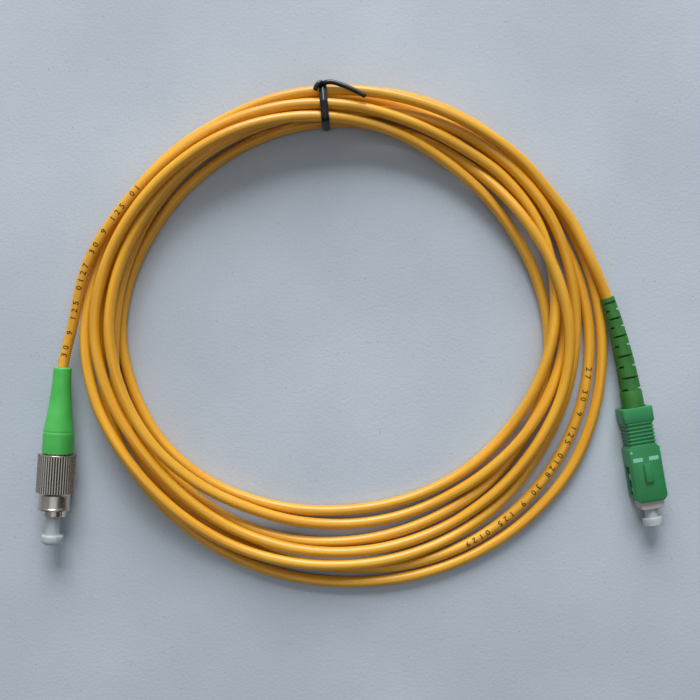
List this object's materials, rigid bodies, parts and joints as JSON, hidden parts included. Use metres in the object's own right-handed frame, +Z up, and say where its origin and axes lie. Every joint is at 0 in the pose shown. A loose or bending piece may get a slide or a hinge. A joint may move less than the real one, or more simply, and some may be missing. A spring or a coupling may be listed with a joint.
{
  "type": "fibre optic patch cord",
  "caption": "Coiled fibre patch cord tied with a twist tie, with a threaded round plug at one end, a square push-pull plug at the other, and dust caps on both.",
  "frame": {"origin": "middle of the footprint of the two plugs and the tie, on the plane that the cord lies on", "axes": "+Z up from the table, +X from the round plug towards the square plug, +Y towards the tie"},
  "size_m": [0.1798, 0.1444, 0.0134],
  "materials": {
    "cable_jacket": "yellow PVC, satin",
    "tie_black": "black plastic over wire, satin",
    "boot_lime": "light green soft PVC, satin",
    "boot_green": "mid green soft PVC, satin",
    "grip_green": "green moulded plastic, fine texture",
    "frame_ivory": "off-white moulded plastic",
    "nickel": "nickel plated brass",
    "spring_steel": "drawn spring wire",
    "crimp_metal": "drawn sleeve",
    "ceramic": "polished zirconia",
    "yarn": "aramid strands",
    "buffer": "tight buffered fibre",
    "cap_clear": "translucent soft plastic"
  },
  "bodies": {
    "root": {"cable_coil": "cable_jacket", "cable_fc_lead": "cable_jacket", "cable_sc_lead": "cable_jacket", "twist_tie": "tie_black", "fc_boot": "boot_lime", "fc_cable_end": "cable_jacket", "fc_strength_yarn": "yarn", "fc_crimp_sleeve": "crimp_metal", "fc_rear_body": "nickel", "fc_spring": "spring_steel", "fc_front_body": "nickel", "sc_boot": "boot_green", "sc_cable_end": "cable_jacket", "sc_strength_yarn": "yarn", "sc_crimp_sleeve": "crimp_metal", "sc_rear_body": "nickel", "sc_spring": "spring_steel", "sc_plug_frame": "frame_ivory"},
    "fc_clip": {"fc_nut_clip": "spring_steel"},
    "fc_nut": {"fc_coupling_nut": "nickel"},
    "fc_ferrule": {"fc_ferrule": "ceramic", "fc_ferrule_flange": "nickel", "fc_buffered_fibre": "buffer"},
    "fc_cap": {"fc_dust_cap": "cap_clear"},
    "sc_grip": {"sc_grip": "grip_green"},
    "sc_ferrule": {"sc_ferrule": "ceramic", "sc_ferrule_flange": "nickel", "sc_buffered_fibre": "buffer"},
    "sc_cap": {"sc_dust_cap": "cap_clear"}
  },
  "joints": [
    {"name": "fc_nut_slide", "type": "slide", "parent": "root", "child": "fc_clip", "axis": [-0.061, -0.9981, 0], "range_m": [0, 0.0015]},
    {"name": "fc_nut_spin", "type": "hinge", "parent": "fc_clip", "child": "fc_nut", "pos_m": [-0.08198, -0.01521, 0.0053], "axis": [-0.061, -0.9981, 0], "continuous": true},
    {"name": "fc_ferrule_slide", "type": "slide", "parent": "root", "child": "fc_ferrule", "axis": [0.061, 0.9981, 0], "range_m": [0, 0.0015], "stiffness_N_per_m": 1000, "springref_m": -0.003, "deforming": ["fc_spring"]},
    {"name": "fc_cap_slide", "type": "slide", "parent": "fc_ferrule", "child": "fc_cap", "axis": [-0.061, -0.9981, 0], "range_m": [0, 0.01]},
    {"name": "sc_grip_slide", "type": "slide", "parent": "root", "child": "sc_grip", "axis": [0.1685, -0.9857, 0], "range_m": [0, 0.0015]},
    {"name": "sc_ferrule_slide", "type": "slide", "parent": "root", "child": "sc_ferrule", "axis": [-0.1685, 0.9857, 0], "range_m": [0, 0.0015], "stiffness_N_per_m": 1000, "springref_m": -0.003, "deforming": ["sc_spring"]},
    {"name": "sc_cap_slide", "type": "slide", "parent": "sc_ferrule", "child": "sc_cap", "axis": [0.1685, -0.9857, 0], "range_m": [0, 0.01]}
  ]
}
